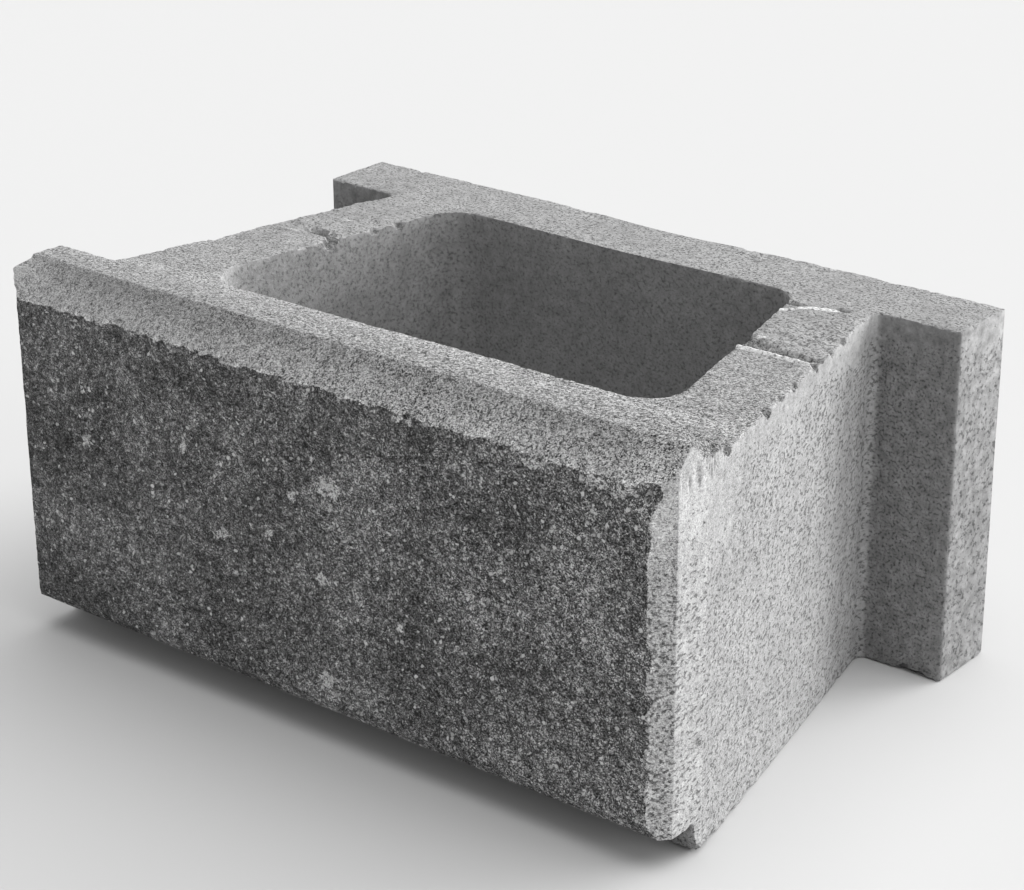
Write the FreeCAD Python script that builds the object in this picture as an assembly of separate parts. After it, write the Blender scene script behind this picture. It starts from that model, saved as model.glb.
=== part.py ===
"""Hollow retaining wall block, dry-cast in concrete as one piece.

Frame: millimetres, +Z up, +X along the wall, -Y towards the exposed split
face.  The origin is at the middle of the block's bottom.
"""
import FreeCAD, Part
import os

V = FreeCAD.Vector

# ---------------------------------------------------------------- dimensions
length = 433.0            # along the wall, the same at face and rear flange
depth = 301.0             # split face to rear of flange
height = 200.0            # one course, bottom to top bearing face
lip_height = 15.0         # raised front lip above the top bearing face

# exposed face, framed by the bevels of the groove it was split along
corner_bevel = 10.0       # upright bevel at the right end of the face
corner_bevel_left = 6.0   # the split ran closer to the left end
face_top = 195.0          # upper edge of the split face
face_bottom = 27.0        # lower edge of the split face
under_bevel = 5.0         # run of the small bevel under the face

# lip section, measured back from the split face
lip_front = 19.5          # front edge of the lip's flat top
lip_back = 39.0           # rear edge of the lip's flat top
lip_foot = 52.0           # where the lip's rear slope meets the bearing face

# notch along the bottom front edge, which drops behind the lip below
notch_depth = 32.0        # from the split face to the foot of its back wall
notch_depth_top = 26.0    # and to the top of that wall, which leans forward
notch_height = 18.0

# plan shape of the ends
end_flat = 33.0           # straight joint face at each end, from the split face
web_at_flange = 165.0     # half width over the webs where they meet the flange
flange_thickness = 46.0   # rear flange, whose wings reach the full length
cove_radius = 5.0         # inside corner between web and wing
arris_radius = 2.0        # worn upright edges of the wings

# through core, a little askew: plan corners before rounding, x and distance
# back from the split face, from front left anticlockwise, and their radii
core_corners = [(-154.0, 77.6), (158.1, 81.2), (117.7, 254.8), (-119.9, 254.8)]
core_radii = [26.0, 20.0, 20.0, 22.0]

# shallow band across each web's top, left under the bar that held the core
bar_front = 170.5
bar_rear = 238.0
bar_sink = 1.0

# ------------------------------------------------------------------- helpers
total_height = height + lip_height
half = length / 2.0
mid = depth / 2.0         # from the split face to the origin's plane


def pt(x, y, z=0.0):
    """Point given with y measured back from the split face."""
    return V(x, y - mid, z)


def face_of(points):
    return Part.Face(Part.makePolygon(points + [points[0]]))


def upright_edges(shape, corners):
    """Vertical edges of a prism that stand on the given plan points."""
    found = []
    for edge in shape.Edges:
        a, b = edge.Vertexes[0].Point, edge.Vertexes[-1].Point
        if abs(a.z - b.z) < 1.0 or abs(a.x - b.x) + abs(a.y - b.y) > 1e-6:
            continue
        for c in corners:
            if abs(a.x - c.x) < 1e-4 and abs(a.y - c.y) < 1e-4:
                found.append(edge)
    return found


# ---------------------------------------------------------- plan of the block
flange_front = depth - flange_thickness


def end_outline(bevel):
    return [
        pt(half - bevel, 0.0),
        pt(half, bevel),
        pt(half, end_flat),
        pt(web_at_flange, flange_front),
        pt(half, flange_front),
        pt(half, depth),
    ]


right = end_outline(corner_bevel)
left = [V(-p.x, p.y, 0.0) for p in reversed(end_outline(corner_bevel_left))]
plan = face_of(right + left)
prism = plan.extrude(V(0, 0, total_height))

coves = [right[3], left[2]]
arrises = [right[4], right[5], left[0], left[1]]
prism = prism.makeFillet(cove_radius, upright_edges(prism, coves))
prism = prism.makeFillet(arris_radius, upright_edges(prism, arrises))

# ------------------------------------------------ cross-section, front to back
section = face_of([
    pt(-half - 5, 0.0, face_bottom),
    pt(-half - 5, under_bevel, notch_height),
    pt(-half - 5, notch_depth_top, notch_height),
    pt(-half - 5, notch_depth, 0.0),
    pt(-half - 5, depth + 5, 0.0),
    pt(-half - 5, depth + 5, height),
    pt(-half - 5, lip_foot, height),
    pt(-half - 5, lip_back, total_height),
    pt(-half - 5, lip_front, total_height),
    pt(-half - 5, 0.0, face_top),
])
bar = section.extrude(V(length + 10, 0, 0))
block = prism.common(bar)

# --------------------------------------------------------------- through core
core_plan = [pt(x, y, -10) for x, y in core_corners]
core = face_of(core_plan).extrude(V(0, 0, total_height + 20))
for corner, radius in zip(core_plan, core_radii):
    core = core.makeFillet(radius, upright_edges(core, [corner]))
block = block.cut(core)

# ------------------------------------------------- core-bar bands on the webs
band = Part.makeBox(length + 20, bar_rear - bar_front, 50,
                    pt(-half - 10, bar_front, height - bar_sink))
block = block.cut(band).removeSplitter()

# --------------------------------------------------------------------- output
solid = block.Solids[0]
box = solid.BoundBox
print("solids", len(block.Solids), "valid", solid.isValid())
print("box", [round(v, 3) for v in (box.XMin, box.YMin, box.ZMin,
                                    box.XMax, box.YMax, box.ZMax)])
print("volume litres", round(solid.Volume / 1e6, 3))

os.makedirs("parts", exist_ok=True)
solid.exportStep("parts/retaining_wall_block.step")
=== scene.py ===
"""Looks of the retaining wall block: one dense mesh for the cast concrete, with
its split face, worn arrises, core-bar marks, chips and pits as geometry, and
the finer grain and pores in the material."""

import math
import time

import bpy
import numpy as np
from mathutils import Matrix, Vector


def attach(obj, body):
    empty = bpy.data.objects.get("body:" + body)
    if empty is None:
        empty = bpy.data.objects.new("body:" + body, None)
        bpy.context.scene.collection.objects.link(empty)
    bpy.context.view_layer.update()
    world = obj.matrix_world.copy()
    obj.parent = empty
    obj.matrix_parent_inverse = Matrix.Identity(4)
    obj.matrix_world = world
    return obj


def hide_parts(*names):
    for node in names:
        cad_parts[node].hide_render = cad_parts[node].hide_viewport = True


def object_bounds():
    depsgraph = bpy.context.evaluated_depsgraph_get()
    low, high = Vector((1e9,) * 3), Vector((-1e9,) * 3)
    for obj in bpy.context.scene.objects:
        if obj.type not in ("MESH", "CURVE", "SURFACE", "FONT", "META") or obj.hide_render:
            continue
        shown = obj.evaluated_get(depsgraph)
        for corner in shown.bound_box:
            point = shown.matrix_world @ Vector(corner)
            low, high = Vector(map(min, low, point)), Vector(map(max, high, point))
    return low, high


T0 = time.perf_counter()
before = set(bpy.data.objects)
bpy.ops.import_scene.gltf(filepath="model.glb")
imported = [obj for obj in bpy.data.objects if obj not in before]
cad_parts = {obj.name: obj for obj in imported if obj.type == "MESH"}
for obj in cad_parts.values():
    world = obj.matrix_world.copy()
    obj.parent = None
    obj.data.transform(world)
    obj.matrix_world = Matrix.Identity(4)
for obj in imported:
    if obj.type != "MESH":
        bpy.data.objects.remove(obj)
cad_box = [list(v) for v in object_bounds()]
scene = bpy.context.scene

NODE = "retaining_wall_block"
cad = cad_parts[NODE]

# Sizes in millimetres, y measured back from the split face, as the block is
# drawn.
DEPTH = 301.0
HALF = 216.5
FACE_TOP, FACE_BOTTOM = 195.0, 27.0
BEVEL_R, BEVEL_L = 10.0, 6.0
BAR_FRONT, BAR_REAR = 170.5, 238.0
MAX_TRIS = 197000


def say(what):
    print("%6.1f s  %s" % (time.perf_counter() - T0, what), flush=True)


# ------------------------------------------------------------------ noise
GRAD = np.random.default_rng(11).normal(size=(256, 3))
GRAD /= np.linalg.norm(GRAD, axis=1)[:, None]


def hashed(ix, iy, iz, seed):
    h = (ix.astype(np.uint32) * np.uint32(374761393)
         + iy.astype(np.uint32) * np.uint32(668265263)
         + iz.astype(np.uint32) * np.uint32(2246822519)
         + np.uint32((seed * 3266489917 + 97) % 4294967296))
    h = (h ^ (h >> np.uint32(15))) * np.uint32(2246822519)
    h = (h ^ (h >> np.uint32(13))) * np.uint32(3266489917)
    return h ^ (h >> np.uint32(16))


def noise(p, size, seed):
    """Smooth noise of about -1 to 1 with features of the given size (mm)."""
    q = np.asarray(p, float) / np.asarray(size, float)
    i = np.floor(q).astype(np.int64)
    f = q - i
    w = f * f * f * (f * (f * 6 - 15) + 10)
    out = np.zeros(len(q))
    for dx in (0, 1):
        for dy in (0, 1):
            for dz in (0, 1):
                h = hashed(i[:, 0] + dx, i[:, 1] + dy, i[:, 2] + dz, seed)
                g = GRAD[h & np.uint32(255)]
                d = ((f - (dx, dy, dz)) * g).sum(1)
                k = ((w[:, 0] if dx else 1 - w[:, 0])
                     * (w[:, 1] if dy else 1 - w[:, 1])
                     * (w[:, 2] if dz else 1 - w[:, 2]))
                out += k * d
    return out * 1.6


def cells(p, size, seed):
    """Distance (mm) to the nearest of scattered points, and three random
    numbers of that point."""
    q = np.asarray(p, float) / np.asarray(size, float)
    i = np.floor(q).astype(np.int64)
    best = np.full(len(q), 1e9)
    key = np.zeros(len(q), np.uint32)
    for dx in (-1, 0, 1):
        for dy in (-1, 0, 1):
            for dz in (-1, 0, 1):
                c = i + (dx, dy, dz)
                h = hashed(c[:, 0], c[:, 1], c[:, 2], seed)
                off = np.stack([(h & np.uint32(1023)) / 1023.0,
                                ((h >> np.uint32(10)) & np.uint32(1023)) / 1023.0,
                                ((h >> np.uint32(20)) & np.uint32(1023)) / 1023.0], 1)
                d = (((c + off - q) * np.asarray(size, float)) ** 2).sum(1)
                m = d < best
                best[m] = d[m]
                key[m] = h[m]
    r = hashed(key, key >> np.uint32(7), key, seed + 5)
    rnd = np.stack([(r & np.uint32(1023)) / 1023.0,
                    ((r >> np.uint32(10)) & np.uint32(1023)) / 1023.0,
                    ((r >> np.uint32(20)) & np.uint32(1023)) / 1023.0], 1)
    return np.sqrt(best), rnd


def step(lo, hi, v):
    t = np.clip((np.asarray(v, float) - lo) / (hi - lo), 0, 1)
    return t * t * (3 - 2 * t)


def fracture(x, z):
    """Depth (mm) of the split surface behind the block's front plane."""
    p = np.stack([x, np.zeros_like(x), z], 1)
    d = (1.3 + 0.4 * noise(p, 120, 1) + 0.7 * noise(p, 50, 2)
         + 1.2 * noise(p, 20, 3) + 1.35 * noise(p, 10, 4)
         + 1.0 * noise(p, 5.2, 5) + 0.6 * noise(p, 2.9, 6))
    # aggregate that stands out or was pulled out
    for size, seed, high in ((9.0, 7, 1.1), (5.0, 8, 0.8)):
        r, rnd = cells(p, size, seed)
        rad = size * (0.18 + 0.22 * rnd[:, 0])
        bump = np.clip(1 - (r / rad) ** 2, 0, 1) ** 0.7
        d -= high * (rnd[:, 1] * 1.7 - 0.8) * bump
    # the split keeps closer to the front at the right end, and bites into its
    # bevel at three places
    d -= 0.7 * step(165, 204, x)
    for zc, much, wide in ((195, 3.4, 7), (91, 2.4, 5), (146, 1.5, 5)):
        d += much * np.exp(-((z - zc) / wide) ** 2) * step(193, 206, x)
    border = np.exp(-((z - 196) / 7) ** 2)
    d += border * (0.9 * noise(p, 7.5, 9) + 0.7 * noise(p, 3.2, 10))
    k = 0.35
    return 0.04 + k * np.log1p(np.exp(np.clip(d / k, -30, 30)))


def to_blender(p):
    return (np.stack([p[:, 0], p[:, 1] - DEPTH / 2, p[:, 2]], 1) / 1000.0).astype(np.float32).ravel()


# ------------------------------------------------------------ base of the mesh
base = bpy.data.objects.new("base", cad.data.copy())
scene.collection.objects.link(base)
mod = base.modifiers.new("remesh", "REMESH")
mod.mode = "SHARP"
mod.octree_depth = 9
mod.scale = 0.9
mod.sharpness = 1.0
mod.use_remove_disconnected = False
dg = bpy.context.evaluated_depsgraph_get()
mesh = bpy.data.meshes.new_from_object(base.evaluated_get(dg))
bpy.data.objects.remove(base)
n = len(mesh.vertices)
co = np.empty(n * 3, np.float32)
mesh.vertices.foreach_get("co", co)
P = co.reshape(-1, 3).astype(float) * 1000.0
P[:, 1] += DEPTH / 2
say("base mesh %d vertices" % n)

broken_and_shade = np.zeros(n)        # freshly broken, rough concrete; its darker colour is also painted shade in chips and hollows
pale_and_highlight = np.zeros(n)          # pale spots, crumbs, fins and scuffs; on the fins and the lip's rear arris the paleness is also a painted highlight


def within(lo, hi):
    return np.where(((P > lo) & (P < hi)).all(1))[0]


# ---------------------------------------------------- shape of this one casting
# The flange's top sags at mid-length.
m = within((-140, 236, 196), (140, 302, 202))
q = P[m]
P[m, 2] -= (step(240, 256, q[:, 1]) * (1.1 + 0.9 * (q[:, 1] - 255) / 46)
            * np.exp(-((q[:, 0] - 4) / 48) ** 2) * step(197.5, 199.5, q[:, 2]))

# The lip's right end is torn off in a ragged slope.
m = within((188, 12, 196), (217, 62, 216))
q = P[m]
end = np.interp(q[:, 1], (12, 20, 24, 30, 38, 46, 53, 62), (216, 214.6, 211.5, 206.5, 203.6, 201.4, 200.4, 200.4))
rag = (1.3 * noise(q * (1, 1, 0.25), (4.5, 3.0, 6), 51) + 0.9 * noise(q * (1, 1, 0.3), 2.4, 52)
       + 1.2 * noise(q, 9, 53))
cut = end + (HALF - q[:, 0]) * (0.62 + 0.12 * noise(q, 14, 54)) + rag
hit = (q[:, 2] > cut) & (q[:, 2] > 200.2)
P[m[hit], 2] = np.maximum(cut[hit], 200.0)
broken_and_shade[m[hit]] = 1.0

# ------------------------------------------------- convex edges of the block
src = cad.data
src.calc_loop_triangles()
cv = np.array([v.co for v in src.vertices], float) * 1000.0
cv[:, 1] += DEPTH / 2
keys, weld = np.unique(np.round(cv, 3), axis=0, return_inverse=True)
weld = np.asarray(weld).reshape(-1)
tri = weld[np.array([t.vertices for t in src.loop_triangles])]
tri = tri[(tri[:, 0] != tri[:, 1]) & (tri[:, 1] != tri[:, 2]) & (tri[:, 0] != tri[:, 2])]
fn = np.cross(keys[tri[:, 1]] - keys[tri[:, 0]], keys[tri[:, 2]] - keys[tri[:, 0]])
fn /= np.maximum(np.linalg.norm(fn, axis=1), 1e-12)[:, None]
sides = {}
for k, t in enumerate(tri):
    for a, b in ((0, 1), (1, 2), (2, 0)):
        sides.setdefault((min(t[a], t[b]), max(t[a], t[b])), []).append(k)
edges = []
for (a, b), ks in sides.items():
    if len(ks) != 2:
        continue
    na, nb = fn[ks[0]], fn[ks[1]]
    if na @ nb > 0.88:
        continue
    far = keys[[v for v in tri[ks[1]] if v not in (a, b)][0]] - keys[a]
    if far @ na > 0:        # inside corner
        continue
    nn = na + nb
    edges.append((keys[a], keys[b], nn / np.linalg.norm(nn)))
say("%d convex edges" % len(edges))

# Chips along the arrises: x, y, z, reach and depth in mm.
CHIPS = (
    (212, 57, 200, 3.5, 3.4), (199.5, 106, 200, 4.5, 3.2), (194, 124, 200, 3.0, 2.2), (190, 141, 200, 4.0, 3.0),
    (183.5, 171, 200, 3.6, 3.0), (178, 192, 199, 2.6, 2.2), (174.5, 210, 199, 3.5, 2.8),
    (-137, 167, 198, 5.0, 4.0), (-131, 198, 199, 4.0, 1.8), (-127, 215, 199, 3.0, 2.4),
    (216.5, 301, 89, 9.0, 2.2), (216.5, 301, 130, 7.0, 1.4), (216.5, 301, 40, 6.0, 1.6),
    (216.5, 36, 0, 6.0, 2.4), (214, 48, 0, 5.0, 2.0), (208, 72, 0, 5.0, 1.6),
    (216.5, 270, 200, 5.0, 1.2), (195, 255, 0, 6.0, 1.8), (205, 255, 0, 5.0, 1.2),
    (-216.5, 60, 200, 9.0, 2.0), (-205, 84, 200, 16.0, 1.6), (-193, 134, 200, 26.0, 1.9),
    (60, 301, 200, 9.0, 1.4), (-60, 301, 200, 9.0, 1.0), (150, 301, 200, 7.0, 1.2),
)


def wear(a, b, nn):
    """Takes the arris between two faces back to a ragged bevel."""
    length = np.linalg.norm(b - a)
    if length < 0.5:
        return
    u = (b - a) / length
    m = within(np.minimum(a, b) - 9, np.maximum(a, b) + 9)
    if not len(m):
        return
    rel = P[m] - a
    s = rel @ u
    side = rel - s[:, None] * u
    m = m[(s > -1.5) & (s < length + 1.5) & ((side ** 2).sum(1) < 64)]
    if not len(m):
        return
    q = P[m]
    along = q - ((q - a) @ nn)[:, None] * nn      # the field runs along the edge
    amount, chip = 1.0, 0.5
    low, high = np.minimum(a, b), np.maximum(a, b)
    if low[2] > 198 and (low[1] > 237 and high[1] < 239 or low[1] > 170 and high[1] < 171):
        return                                    # edge of a core-bar mark
    if high[2] < 1:                               # bottom arrises are ragged
        amount, chip = 1.7, 2.0
    elif low[1] > 299 and low[2] > 198:           # rear of the flange's top
        amount, chip = 1.2, 1.1
    elif low[1] > 299:                            # upright arrises at the rear
        amount, chip = 1.0, 1.5
    elif low[2] > 214 and high[1] < 20:           # front of the lip
        amount, chip = 0.45, 0.08
    elif high[1] < 6:                             # the split has no arris
        amount, chip = 0.4, 0.0
    elif high[1] < 12:                            # ends of the face
        amount, chip = (0.4, 0.1) if a[0] > 0 else (1.2, 1.2)
    elif low[2] > 198 and (np.abs(a[0]) > 164 and low[1] > 32 and high[1] < 256):
        amount, chip = 1.3, 1.0                   # outer top arrises of the webs
    elif low[2] > 198 and np.abs(a[0]) < 158 and 74 < low[1] and high[1] < 256:
        amount, chip = 1.2, 0.9                   # rim of the core
    t = (0.30 + 0.15 * noise(along, 30, 21) + 0.24 * noise(along, 8, 22)
         + 0.38 * noise(along, 3.2, 23)) * amount
    t = t + chip * (0.8 * step(0.35, 0.75, noise(along, 11, 24)) + 0.8 * step(0.35, 0.7, noise(along, 5, 25)))
    for x, y, z, reach, deep in CHIPS:
        r2 = ((along - (x, y, z)) ** 2).sum(1)
        t = t + deep * np.exp(-r2 / reach ** 2) * (1 + 0.5 * noise(along, 3.5, 26))
    t = np.clip(t, 0.08, 6)
    over = (q - a) @ nn + t
    hit = over > 0
    P[m[hit]] -= over[hit, None] * nn
    # deep chips count as broken, and their darker colour is painted shade in them
    broken_and_shade[m[hit]] = np.maximum(broken_and_shade[m[hit]], step(0.9, 2.0, t[hit]))


for e in edges:
    wear(*e)
say("arrises worn")

# The groove's bevel flares forward at the left end.
m = within((-217, -1, 194), (-201, 21, 216))
q = P[m]
ear = np.interp(q[:, 2], (194, 201, 211.2, 211.9, 212.4, 212.9, 215), (5.0, 4.6, 4.8, 9.0, 14.0, 17.6, 19.3))
w = np.clip((-201.5 - q[:, 0]) / 15.0, 0, 1) ** 1.5
on = (q[:, 1] > ear) & (np.abs(q[:, 1] - (q[:, 2] - FACE_TOP) * 0.975) < 1.6)
P[m[on], 1] -= (w * (q[:, 1] - ear))[on] - 0.5 * (w * noise(q, 5, 55))[on]

# Drag marks run down the right end from the torn lip.
m = within((211, 12, 184), (217, 62, 206))
q = P[m]
drag = (step(-0.1, 0.35, noise(q * (1, 1, 0.14), 3.0, 56))
        * step(190, 198, q[:, 2] + 5 * noise(q * (1, 1, 0), 4, 57) + 2 * noise(q, 3, 58))
        * (1 - step(44, 56, q[:, 1])))
P[m, 0] -= 0.9 * drag * step(213.0, 215.0, q[:, 0]) * (1 + 0.5 * noise(q, 2.4, 59))
broken_and_shade[m] = np.maximum(broken_and_shade[m], 0.45 * drag)

# ------------------------------------------------------------- core-bar marks
m = within((-220, 160, 190), (220, 258, 203))
m = m[np.abs(P[m, 0]) > 100]
q = P[m]
is_r = q[:, 0] > 0
flat = step(196.5, 198.2, q[:, 2])
inside = step(BAR_FRONT - 0.5, BAR_FRONT + 1.5, q[:, 1]) * (1 - step(BAR_REAR - 4, BAR_REAR + 4, q[:, 1]))
ramp = np.where(is_r, step(184, 226, q[:, 1]), step(175, 188, q[:, 1]))
fill = (q[:, 1] > BAR_FRONT - 0.1) & (q[:, 1] < BAR_REAR + 0.3)
lift = fill * np.clip(199.0 + ramp - q[:, 2], 0, 1.1)
lift += inside * (0.35 * noise(q, 24, 31) + 0.45 * noise(q, 10, 32) + 0.45 * noise(q * (0.5, 1, 1), 4.5, 33)
                  + 0.3 * noise(q, 2.4, 34))
# hollows behind the front line
for x, y, rx, ry, deep in ((134, 181, 8, 9, 2.2), (145, 179, 9, 7, 2.4), (157, 176.5, 8, 5, 2.2),
                           (168, 177, 8, 4, 2.2), (178, 178.5, 6, 3, 2.0), (-154, 176.4, 9.5, 4.6, 4.4),
                           (-145, 174.5, 4, 2.5, 2.2), (-140, 171.5, 4, 2.5, 2.4), (-137, 168, 4, 3, 2.4),
                           (126, 240, 6, 2.6, 1.8), (151, 246, 5, 2.4, 2.0)):
    r2 = ((q[:, 0] - x) / rx) ** 2 + ((q[:, 1] - y) / ry) ** 2
    hole = np.clip(1.15 - r2 + 0.7 * noise(q, 3.2, 35), 0, 1) ** 0.8
    lift -= hole * (deep + 1.3 * noise(q, 2.8, 36))
    # the hollows count as broken too: their darker colour is painted shade
    broken_and_shade[m] = np.maximum(broken_and_shade[m], hole * flat)
# thin fins at both edges of the bar
line1 = np.where(is_r, 168.6, 168.1) + 0.3 * noise(q, 9, 37)
line2 = np.interp(q[:, 0], (120, 125, 138.4, 148.2, 164), (226, 228.1, 238.6, 242.5, 250)) + 0.4 * noise(q, 7, 38)
on1 = np.where(is_r, step(135, 137, q[:, 0]) * (1 - step(181, 185, q[:, 0])),
               step(-177, -174, q[:, 0]) * (1 - step(-163, -159, q[:, 0])))
on1 = on1 * step(-0.85, -0.6, noise(q * (1, 0.2, 0.2), 9, 39))
on2 = is_r * (1 - step(147, 156, q[:, 0])) * step(-0.95, -0.6, noise(q * (1, 0.2, 0.2), 8, 40))
for line, on, high, wide in ((line1, on1, 1.5, 1.6), (line2, on2, 1.1, 1.9)):
    fin = on * np.clip(1 - ((q[:, 1] - line) / wide) ** 2, 0, 1)
    lift += np.where(is_r, high, 0.7) * fin * (0.85 + 0.4 * noise(q, 4, 41))
    # the fins are painted pale, more on the right: a painted highlight along their tops
    pale_and_highlight[m] = np.maximum(pale_and_highlight[m], np.where(is_r, 1.2, 0.5) * flat
                         * on * np.clip(1.5 - ((q[:, 1] - line) / wide) ** 2, 0, 1))
for x, y, r in ((-154, 171.5, 5), (-136.6, 177.5, 4), (-153, 201.7, 4.5), (138.6, 189.3, 4), (-161, 173.5, 3)):
    r2 = (((q[:, 0] - x) / r) ** 2 + ((q[:, 1] - y) / (0.5 * r)) ** 2)
    pale_and_highlight[m] = np.maximum(pale_and_highlight[m], flat * np.where(is_r, 0.8, 0.5) * np.clip(1.1 - r2 + 0.5 * noise(q, 3, 42), 0, 1))
P[m, 2] += flat * lift
broken_and_shade[m] = np.maximum(broken_and_shade[m], inside * flat * 0.12)

# The lip's rear arris is worn and painted pale along its right half: a painted highlight where the arris catches the
# light.
m = within((-120, 36, 211), (190, 45, 216))
q = P[m]
scuff_and_highlight = (step(-0.35, 0.1, noise(q * (0.35, 1, 1), 14, 42) + 0.4 * noise(q, 3, 43))
         * step(0, 60, q[:, 0]) * (1 - step(160, 185, q[:, 0])))
pale_and_highlight[m] = np.maximum(pale_and_highlight[m], scuff_and_highlight * np.exp(-((q[:, 1] - 39.3) / 1.0) ** 2))

# ------------------------------------------------------------------ the split
m = within((-220, -1, 16), (220, 9, 208))
q = P[m]
d = fracture(q[:, 0], q[:, 2])
cut = q[:, 1] < d
P[m[cut], 1] = d[cut]
split = np.zeros(n, bool)
split[m[cut]] = True
# pale crushed spots on the split and crumbs along its upper border: x, z, width, height
for x, z, rx, rz in ((11, 146, 9, 6), (-15, 134, 4, 3), (-164, 126, 6, 4), (-64, 100, 5, 4), (-90, 142, 2, 6),
                     (-91, 122, 2.5, 5), (-32, 110, 5, 3), (6, 37, 6, 6), (57, 83, 2.5, 2), (6, 94, 6, 4),
                     (62, 194, 7, 2.5), (140, 193, 9, 2.5), (175, 193, 12, 3), (190, 192, 8, 4)):
    r2 = ((q[:, 0] - x) / rx) ** 2 + ((q[:, 2] - z) / rz) ** 2
    spot = np.clip(1.0 - r2 + 1.3 * noise(q, 3.2, 61) + 0.6 * noise(q, 1.8, 62), 0, 1) * (r2 < 2.2)
    pale_and_highlight[m] = np.maximum(pale_and_highlight[m], 1.1 * spot)
say("split face")

# -------------------------------------------------------- slight waves and pits
mesh.vertices.foreach_set("co", to_blender(P))
mesh.update()
nv = np.empty(n * 3, np.float32)
mesh.vertices.foreach_get("normal", nv)
N = nv.reshape(-1, 3).astype(float)
off = np.clip(0.1 + 0.22 * noise(P, 70, 44) + 0.16 * noise(P, 24, 45), 0, 1)
r, rnd = cells(P, 19.0, 46)
rad = 0.9 + 1.4 * rnd[:, 0] ** 2
pit = np.clip(1 - (r / rad) ** 2, 0, 1) * rad * (0.5 + 0.35 * rnd[:, 1]) * (rnd[:, 2] < 0.8)
P -= N * ((off + pit) * ~split)[:, None]

lo = np.array(cad_box[0]) * 1000 + (0, DEPTH / 2, 0) + 0.003
hi = np.array(cad_box[1]) * 1000 + (0, DEPTH / 2, 0) - 0.003
P = np.clip(P, lo, hi)
mesh.vertices.foreach_set("co", to_blender(P))
for name, values in (("broken_and_shade", broken_and_shade), ("pale_and_highlight", pale_and_highlight)):
    att = mesh.attributes.new(name, "FLOAT", "POINT")
    att.data.foreach_set("value", values.astype(np.float32))
mesh.update()
say("waves and pits")

# --------------------------------------------------------------- thin the mesh
dense = bpy.data.objects.new("dense", mesh)
scene.collection.objects.link(dense)
tris = sum(len(p.vertices) - 2 for p in mesh.polygons)
dec = dense.modifiers.new("thin", "DECIMATE")
dec.decimate_type = "COLLAPSE"
dec.ratio = MAX_TRIS / tris
dec.use_collapse_triangulate = True
dg = bpy.context.evaluated_depsgraph_get()
final = bpy.data.meshes.new_from_object(dense.evaluated_get(dg))
bpy.data.objects.remove(dense)
say("thinned %d -> %d triangles" % (tris, len(final.polygons)))

n = len(final.vertices)
co = np.empty(n * 3, np.float32)
final.vertices.foreach_get("co", co)
Q = co.reshape(-1, 3).astype(float) * 1000.0
Q[:, 1] += DEPTH / 2
Q = np.clip(Q, lo, hi)
final.vertices.foreach_set("co", to_blender(Q))

# How far (mm) the split cuts into the moulded surface: above 0 on the split,
# below 0 on the bevels, so that the border stays sharp.
depth = np.full(n, -3.0)
m = np.where((Q[:, 1] < 12) & (Q[:, 2] > 16) & (Q[:, 2] < 208))[0]
q = Q[m]
cast = np.max([(q[:, 2] - FACE_TOP) * 0.975, q[:, 0] - (HALF - BEVEL_R), -q[:, 0] - (HALF - BEVEL_L)], axis=0)
# the bevel under the face is marked as split too: its darker colour is partly its grainy texture and partly painted
# shade, as it faces down
under = (FACE_BOTTOM - q[:, 2]) * 5 / 9
depth[m] = np.clip(np.maximum(fracture(q[:, 0], q[:, 2]), under) - cast, -3, 3)
gone = (q[:, 1] > np.maximum(np.maximum(cast, under), 0) + 4.5)
depth[m[gone]] = -3.0
att = final.attributes.new("split", "FLOAT", "POINT")
att.data.foreach_set("value", depth.astype(np.float32))

block = bpy.data.objects.new("wall_block_concrete", final)
scene.collection.objects.link(block)
final.polygons.foreach_set("use_smooth", [True] * len(final.polygons))
final.set_sharp_from_angle(angle=math.radians(38))
final.materials.clear()


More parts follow.
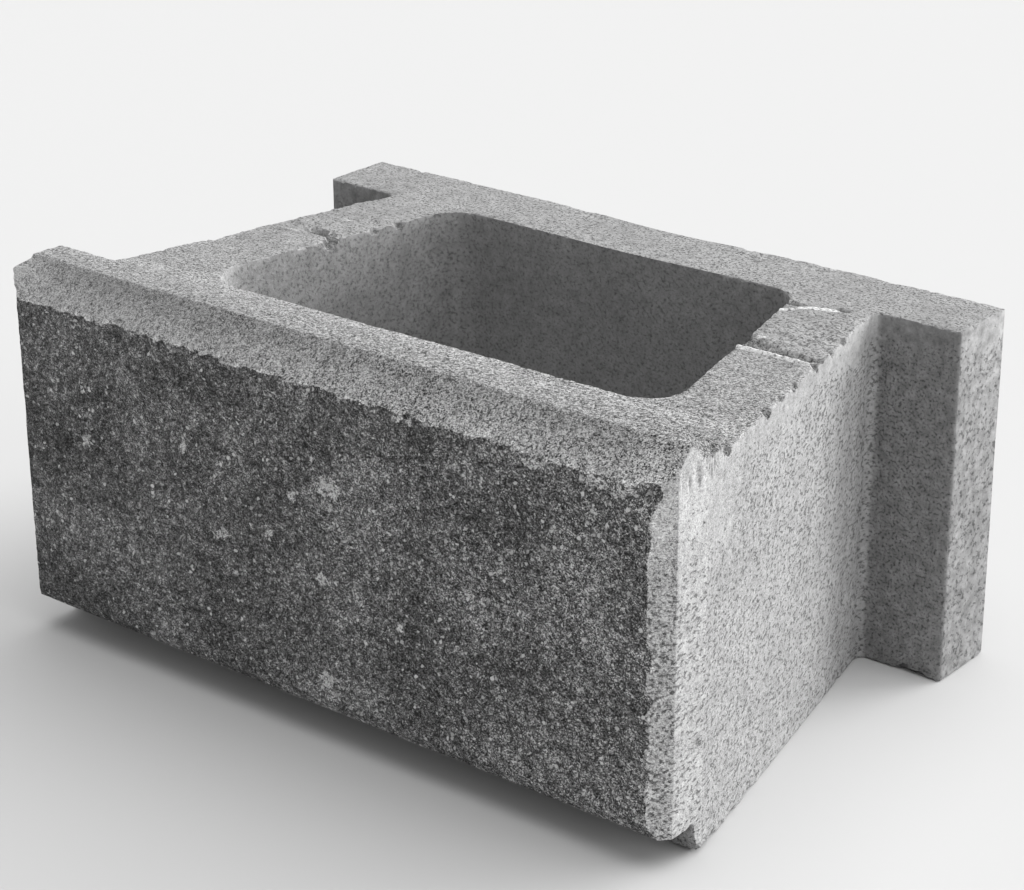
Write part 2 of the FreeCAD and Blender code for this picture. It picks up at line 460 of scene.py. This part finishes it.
# -------------------------------------------------------------------- material
class Nodes:
    """Small helper to wire shader nodes."""

    def __init__(self, tree):
        self.tree = tree
        tree.nodes.clear()

    def add(self, kind, props=None, **inputs):
        node = self.tree.nodes.new(kind)
        for k, v in (props or {}).items():
            setattr(node, k, v)
        for k, v in inputs.items():
            self.put(node.inputs[k.replace("_", " ")], v)
        return node

    def put(self, socket, v):
        if isinstance(v, bpy.types.NodeSocket):
            self.tree.links.new(v, socket)
        else:
            socket.default_value = v

    def math(self, op, a, b=0.0, clamp=False):
        node = self.tree.nodes.new("ShaderNodeMath")
        node.operation, node.use_clamp = op, clamp
        self.put(node.inputs[0], a)
        self.put(node.inputs[1], b)
        return node.outputs[0]

    def total(self, first, *rest):
        for r in rest:
            first = self.math("ADD", first, r)
        return first

    def scaled(self, v, k, shift=0.0):
        """(v - shift) * k"""
        return self.math("MULTIPLY", self.math("SUBTRACT", v, shift), k)

    def remap(self, v, a, b, c=0.0, d=1.0, smooth=True):
        node = self.tree.nodes.new("ShaderNodeMapRange")
        node.interpolation_type = "SMOOTHSTEP" if smooth else "LINEAR"
        for s, x in zip(node.inputs, (v, a, b, c, d)):
            self.put(s, x)
        return node.outputs[0]

    def mix(self, f, a, b):
        node = self.tree.nodes.new("ShaderNodeMix")
        node.data_type = "FLOAT"
        self.put(node.inputs[0], f)
        self.put(node.inputs[2], a)
        self.put(node.inputs[3], b)
        return node.outputs[0]

    def vec(self, op, a, b):
        node = self.tree.nodes.new("ShaderNodeVectorMath")
        node.operation = op
        self.put(node.inputs[0], a)
        self.put(node.inputs["Scale"] if op == "SCALE" else node.inputs[1], b)
        return node.outputs[0]

    def noise(self, vector, size, detail=2.0, rough=0.5):
        node = self.add("ShaderNodeTexNoise", {"noise_dimensions": "3D"},
                        Vector=vector, Scale=1.0 / size, Detail=detail, Roughness=rough)
        return node.outputs[0]

    def grains(self, vector, size):
        """Distance from the grain's middle, and its random numbers."""
        node = self.add("ShaderNodeTexVoronoi", {"feature": "F1"},
                        Vector=vector, Scale=1.0 / size, Randomness=1.0)
        rnd = self.add("ShaderNodeSeparateColor", Color=node.outputs["Color"])
        return node.outputs["Distance"], rnd.outputs[0], rnd.outputs[1], rnd.outputs[2]

    def attribute(self, name):
        return self.add("ShaderNodeAttribute", {"attribute_name": name}).outputs["Fac"]


def concrete():
    mat = bpy.data.materials.new("grey_concrete")
    mat.use_nodes = True
    g = Nodes(mat.node_tree)
    mul, add = (lambda a, b: g.math("MULTIPLY", a, b)), g.total
    mm = g.vec("SCALE", g.add("ShaderNodeTexCoord").outputs["Object"], 1000.0)
    x, y, z = g.add("ShaderNodeSeparateXYZ", Vector=mm).outputs
    nx, ny, nz = g.add("ShaderNodeSeparateXYZ", Vector=g.add("ShaderNodeNewGeometry").outputs["Normal"]).outputs
    rag = g.add("ShaderNodeTexNoise", {"noise_dimensions": "3D"}, Vector=mm, Scale=1 / 1.6, Detail=1.0, Roughness=0.6)
    fine = rag.outputs[0]
    cut = g.attribute("split")
    split = g.remap(add(cut, g.scaled(fine, 1.6, 0.5)), -0.1, 0.1)
    broken_and_shade = g.remap(add(g.attribute("broken_and_shade"), g.scaled(fine, 1.2, 0.5)), 0.25, 0.75)
    pale_and_highlight = g.remap(add(g.attribute("pale_and_highlight"), g.scaled(fine, 0.8, 0.5)), 0.25, 0.7)
    broken_and_shade = mul(broken_and_shade, g.math("SUBTRACT", 1.0, pale_and_highlight))
    ax, anx = g.math("ABSOLUTE", x), g.math("ABSOLUTE", nx)
    top = g.remap(nz, 0.8, 0.92)
    upright = g.math("SUBTRACT", 1.0, top)
    steep = g.remap(nz, 0.6, 0.35)
    core = mul(mul(g.remap(ax, 161, 157), mul(g.remap(y, -100, -95), g.remap(y, 122, 112))), steep)
    outer = g.math("SUBTRACT", steep, core)
    front = mul(g.remap(y, -128, -131), g.remap(ny, -0.45, -0.6))
    strip = mul(front, g.remap(anx, 0.4, 0.6))
    bevel = mul(g.math("SUBTRACT", front, strip), g.remap(z, 194, 196))
    wing = mul(g.remap(y, 103, 104.5), outer)
    tip = mul(wing, g.remap(anx, 0.8, 0.9))
    end = mul(g.remap(y, -116, -118), g.remap(anx, 0.85, 0.95))
    rear = mul(core, g.remap(ny, -0.6, -0.8))
    soft = g.math("MAXIMUM", wing, core)
    # the casting is sandier at its front right than at its rear left
    sandy = mul(g.remap(y, -70, 80, 1.1, 0.3, False), g.remap(x, -150, 60, 0.65, 1.1))

    # pores and blotches are drawn out along the webs, and larger on the flange's tips
    drawn = g.add("ShaderNodeCombineXYZ", X=1.0, Z=1.0,
                  Y=add(1.0, mul(upright, -0.45), mul(core, 0.35), mul(tip, 0.2))).outputs[0]
    drawn = g.vec("SCALE", g.vec("MULTIPLY", mm, drawn), add(1.0, mul(core, -0.1), mul(tip, -0.3)))
    d1, r1, _, _ = g.grains(mm, 0.62)             # sand
    d2, s1, s2, _ = g.grains(mm, 2.0)             # grit
    mid = g.noise(mm, 6.5, 2.0, 0.55)
    wide = g.noise(mm, 48.0, 1.0, 0.55)
    worm = g.noise(drawn, 1.6, 2.0, 0.55)

    # open pores, fewer near the top of the outer faces and on the bevels
    patch = mul(mul(g.remap(y, -70, -95), outer), g.remap(add(z, g.scaled(mid, 50, 0.5)), 140, 185))
    smooth = g.math("MAXIMUM", mul(g.remap(add(z, g.scaled(wide, 30, 0.5)), 182, 196), outer), mul(patch, 0.8))
    edge = add(0.52, g.scaled(wide, -0.1, 0.5), mul(smooth, 0.14), mul(bevel, 0.06), mul(strip, -0.02),
               mul(soft, -0.03))
    pore = g.remap(worm, edge, add(edge, add(0.15, mul(soft, 0.1))))

    sand = mul(add(0.3, mul(top, 0.6), mul(bevel, 0.7), mul(strip, 0.25), mul(broken_and_shade, 0.5)), sandy)
    tone = add(1.0, mul(g.scaled(r1, 1.45, 0.5), sand), mul(g.scaled(s1, 0.3, 0.5), sand),
               mul(g.scaled(mid, 0.7, 0.5), add(1.0, mul(wing, 0.8))), g.scaled(wide, 0.4, 0.5), g.scaled(worm, -0.6, 0.5),
               mul(broken_and_shade, g.scaled(fine, 1.4, 0.5)))
    # darkening the pores is painted shade in the pits
    tone = mul(tone, g.math("SUBTRACT", 1.0, mul(pore, add(0.5, mul(strip, 0.15), mul(core, -0.13), mul(wing, 0.06)))))
    crumbs = mul(g.remap(cut, -2.0, -0.4), mul(g.remap(fine, 0.48, 0.58), g.remap(mid, 0.42, 0.56)))
    # painted light and shade by face: painted shade on the flanges (a little less on their tips) and in the core, most
    # on its rear wall; painted light on the ends and the corner strip; darker broken surfaces, partly rough concrete
    # and partly painted shade in chips and hollows; pale spots, partly painted highlight; tops a little darker and the
    # upper front of the outer faces lighter
    tone = mul(tone, add(1.0, mul(pale_and_highlight, 1.25), mul(broken_and_shade, -0.34), mul(wing, -0.26), mul(tip, 0.09), mul(top, -0.04), mul(rear, -0.09), mul(core, -0.03), mul(end, 0.22),
                         mul(strip, 0.27), mul(crumbs, 0.55), mul(patch, 0.12)))
    # paler rim of the shell's top, darker foot of the lip (painted shade), painted shade on the bevel towards its
    # arris, painted light on the bevel's ends and towards its right, painted shade on the flange tips below, painted
    # shade deeper in the core's left wall
    shell = mul(mul(top, g.remap(y, -99, -98)), g.remap(y, -70, -71))
    tone = mul(tone, add(1.0, mul(shell, g.remap(y, -84, -79, -0.13, 0.12)),
                         mul(bevel, g.remap(z, 199, 214, 0.0, -0.26)), mul(bevel, g.remap(ax, 185, 205, 0.0, 0.22)), mul(bevel, g.remap(x, -100, 150, 0.0, 0.07)),
                         mul(tip, g.remap(z, 110, 195, -0.08, 0.16)),
                         mul(mul(core, g.remap(nx, 0.6, 0.8)), g.remap(y, -35, 15, 0.0, -0.2))))
    moulded = mul(tone, 0.281)

    # split surface: darker paste, light and dark grains
    power = add(mul(g.scaled(r1, 1.0, 0.5), add(3.4, mul(x, 0.0035))), g.scaled(s1, 1.3, 0.5), g.scaled(mid, 3.2, 0.5),
                g.scaled(worm, 2.6, 0.5), g.scaled(wide, 2.4, 0.5))
    st = g.math("POWER", 2.0, power)
    spot = add(d2, g.scaled(fine, 0.9, 0.5))
    fleck = mul(g.remap(s2, 0.955, 0.96), g.remap(spot, 0.56, 0.5))
    dark = mul(g.remap(s2, 0.08, 0.06), g.remap(spot, 0.6, 0.4))
    st = mul(st, add(1.0, mul(dark, -0.45), mul(pale_and_highlight, 2.8)))
    # the split is painted lighter towards its right end: painted light
    broke = mul(st, add(0.137, mul(x, 0.00006)))
    broke = g.math("MAXIMUM", broke, mul(fleck, add(0.42, mul(s1, 0.33))))

    value = g.math("MINIMUM", g.math("MAXIMUM", g.mix(split, moulded, broke), 0.02), 0.75)
    colour = g.add("ShaderNodeCombineColor", Red=value, Green=value, Blue=value).outputs[0]

    # height in millimetres
    hm = add(mul(g.scaled(d1, -0.3), sand), mul(pore, add(-0.4, mul(core, 0.28))), g.scaled(mid, 0.35))
    hs = add(g.scaled(d1, -0.8), g.scaled(worm, 1.2), g.scaled(fine, 0.8))
    bump = g.add("ShaderNodeBump", Strength=1.0, Distance=0.001, Height=g.mix(split, hm, hs))
    bsdf = g.add("ShaderNodeBsdfPrincipled", Base_Color=colour, Normal=bump.outputs[0])
    bsdf.inputs["Roughness"].default_value = 0.93
    bsdf.inputs["Specular IOR Level"].default_value = 0.2
    g.add("ShaderNodeOutputMaterial", Surface=bsdf.outputs[0])
    return mat


final.materials.append(concrete())
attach(block, "root")
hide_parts(NODE)

# ----------------------------------------------------------------- the studio
floor_mesh = bpy.data.meshes.new("floor")
S = 7.0
floor_mesh.from_pydata([(-S, -S, 0), (S, -S, 0), (S, S, 0), (-S, S, 0)], [], [(0, 1, 2, 3)])
floor = bpy.data.objects.new("floor", floor_mesh)
scene.collection.objects.link(floor)
floor.location.z = -0.0002
fmat = bpy.data.materials.new("pale_floor")
fmat.use_nodes = True
g = Nodes(fmat.node_tree)
fb = g.add("ShaderNodeBsdfPrincipled")
fb.inputs["Base Color"].default_value = (0.52, 0.52, 0.52, 1)
fb.inputs["Roughness"].default_value = 0.95
fb.inputs["Specular IOR Level"].default_value = 0.1
g.add("ShaderNodeOutputMaterial", Surface=fb.outputs[0])
floor_mesh.materials.append(fmat)

world = bpy.data.worlds.new("studio")
scene.world = world
world.use_nodes = True
g = Nodes(world.node_tree)
bg = g.add("ShaderNodeBackground")
bg.inputs["Color"].default_value = (1, 1, 1, 1)
bg.inputs["Strength"].default_value = 0.5
sky = g.add("ShaderNodeBackground")
sky.inputs["Color"].default_value = (0.84, 0.84, 0.84, 1)
lp = g.add("ShaderNodeLightPath")
mixed = g.add("ShaderNodeMixShader")
g.put(mixed.inputs[0], lp.outputs["Is Camera Ray"])
g.put(mixed.inputs[1], bg.outputs[0])
g.put(mixed.inputs[2], sky.outputs[0])
g.add("ShaderNodeOutputWorld", Surface=mixed.outputs[0])


def lamp(name, towards, strength, angle):
    sun = bpy.data.lights.new(name, "SUN")
    sun.energy = strength
    sun.angle = math.radians(angle)
    ob = bpy.data.objects.new(name, sun)
    scene.collection.objects.link(ob)
    ob.rotation_mode = "QUATERNION"
    ob.rotation_quaternion = (-Vector(towards)).to_track_quat("-Z", "Y")


lamp("key", (0.47, 0.87, 0.16), 4.8, 42)
lamp("right", (0.98, 0.09, 0.15), 1.4, 50)
lamp("overhead", (0.17, 0.24, 0.96), 2.75, 80)

# ------------------------------------------------------------------ the camera
FOCAL, AZ, EL, ROLL = 2678.265, 39.0888, 22.6387, -0.3260
TARGET = Vector((-20.6248, 184.6752 - DEPTH / 2, 100.0)) / 1000
DIST = 1.485119
a, e = math.radians(AZ), math.radians(EL)
back = Vector((math.sin(a) * math.cos(e), -math.cos(a) * math.cos(e), math.sin(e)))
cam_data = bpy.data.cameras.new("camera")
cam_data.sensor_width = 36.0
cam_data.lens = FOCAL / 1024 * 36.0
cam_data.clip_start, cam_data.clip_end = 0.05, 50
cam = bpy.data.objects.new("camera", cam_data)
scene.collection.objects.link(cam)
fwd = -back
right = fwd.cross(Vector((0, 0, 1))).normalized()
up = right.cross(fwd)
ro = math.radians(ROLL)
r2, u2 = right * math.cos(ro) + up * math.sin(ro), up * math.cos(ro) - right * math.sin(ro)
m = Matrix((r2, u2, back)).transposed().to_4x4()
m.translation = TARGET + back * DIST
cam.matrix_world = m
scene.camera = cam

scene.view_settings.view_transform = "Standard"
scene.view_settings.look = "None"
say("scene ready")
